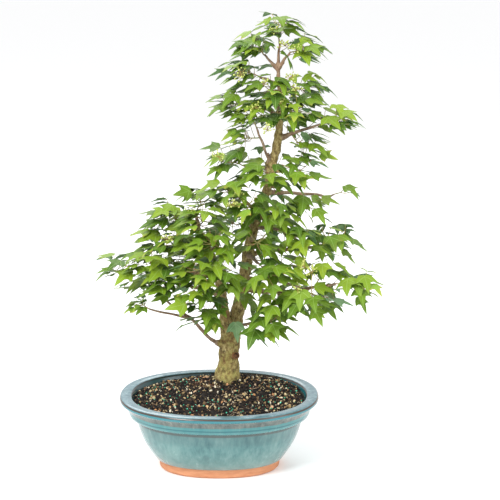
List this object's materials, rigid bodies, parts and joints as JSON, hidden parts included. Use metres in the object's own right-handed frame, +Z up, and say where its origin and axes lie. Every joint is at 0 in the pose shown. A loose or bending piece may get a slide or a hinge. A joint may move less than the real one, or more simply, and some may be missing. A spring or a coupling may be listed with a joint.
{
  "type": "potted bonsai tree",
  "caption": "Broadleaf bonsai tree with two joined trunks and three-lobed leaves, planted in gritty soil in an oval glazed pot that stands on a flat foot ring.",
  "frame": {"origin": "middle of the pot's foot, on the surface that the pot stands on", "axes": "+Z up; X along the pot's long way; the tree's front faces -Y"},
  "size_m": [0.4304, 0.2722, 0.6882],
  "materials": {
    "glaze": "gloss",
    "soil": "matte",
    "bark": "matte",
    "mesh_plastic": "matte",
    "leaf": "satin"
  },
  "bodies": {
    "root": {"drain_screen_left": "mesh_plastic", "drain_screen_right": "mesh_plastic", "pot": "glaze", "shoot_centre_front_1": "leaf", "shoot_cross_back_1": "leaf", "shoot_cross_left_1": "leaf", "shoot_cross_left_2": "leaf", "shoot_crown_front_1": "leaf", "shoot_crown_left_1": "leaf", "shoot_crown_right_1": "leaf", "shoot_high_back_1": "leaf", "shoot_high_front_1": "leaf", "shoot_high_left_1": "leaf", "shoot_high_left_2": "leaf", "shoot_high_right_1": "leaf", "shoot_high_right_2": "leaf", "shoot_leader_1": "leaf", "shoot_left_back_1": "leaf", "shoot_left_drooping_1": "leaf", "shoot_left_front_1": "leaf", "shoot_left_front_2": "leaf", "shoot_left_inner_1": "leaf", "shoot_left_long_1": "leaf", "shoot_left_long_2": "leaf", "shoot_left_long_3": "leaf", "shoot_left_middle_1": "leaf", "shoot_left_middle_2": "leaf", "shoot_left_peak_1": "leaf", "shoot_left_rise_1": "leaf", "shoot_left_shoulder_1": "leaf", "shoot_left_shoulder_2": "leaf", "shoot_left_under_1": "leaf", "shoot_left_under_2": "leaf", "shoot_low_left_1": "leaf", "shoot_low_left_fork_1": "leaf", "shoot_lowest_right_1": "leaf", "shoot_middle_back_1": "leaf", "shoot_middle_front_1": "leaf", "shoot_middle_right_1": "leaf", "shoot_red_twig_1": "leaf", "shoot_red_twig_2": "leaf", "shoot_right_arm_1": "leaf", "shoot_right_arm_2": "leaf", "shoot_right_back_1": "leaf", "shoot_right_front_1": "leaf", "shoot_right_front_2": "leaf", "shoot_right_low_1": "leaf", "shoot_right_low_2": "leaf", "shoot_right_low_3": "leaf", "shoot_right_low_4": "leaf", "shoot_right_low_back_1": "leaf", "shoot_right_low_back_2": "leaf", "shoot_right_middle_1": "leaf", "shoot_right_middle_2": "leaf", "shoot_right_shoulder_1": "leaf", "shoot_right_stub_twig_1": "leaf", "shoot_tip_left_1": "leaf", "shoot_tip_right_1": "leaf", "soil": "soil", "trunk_and_branches": "bark"}
  },
  "joints": []
}
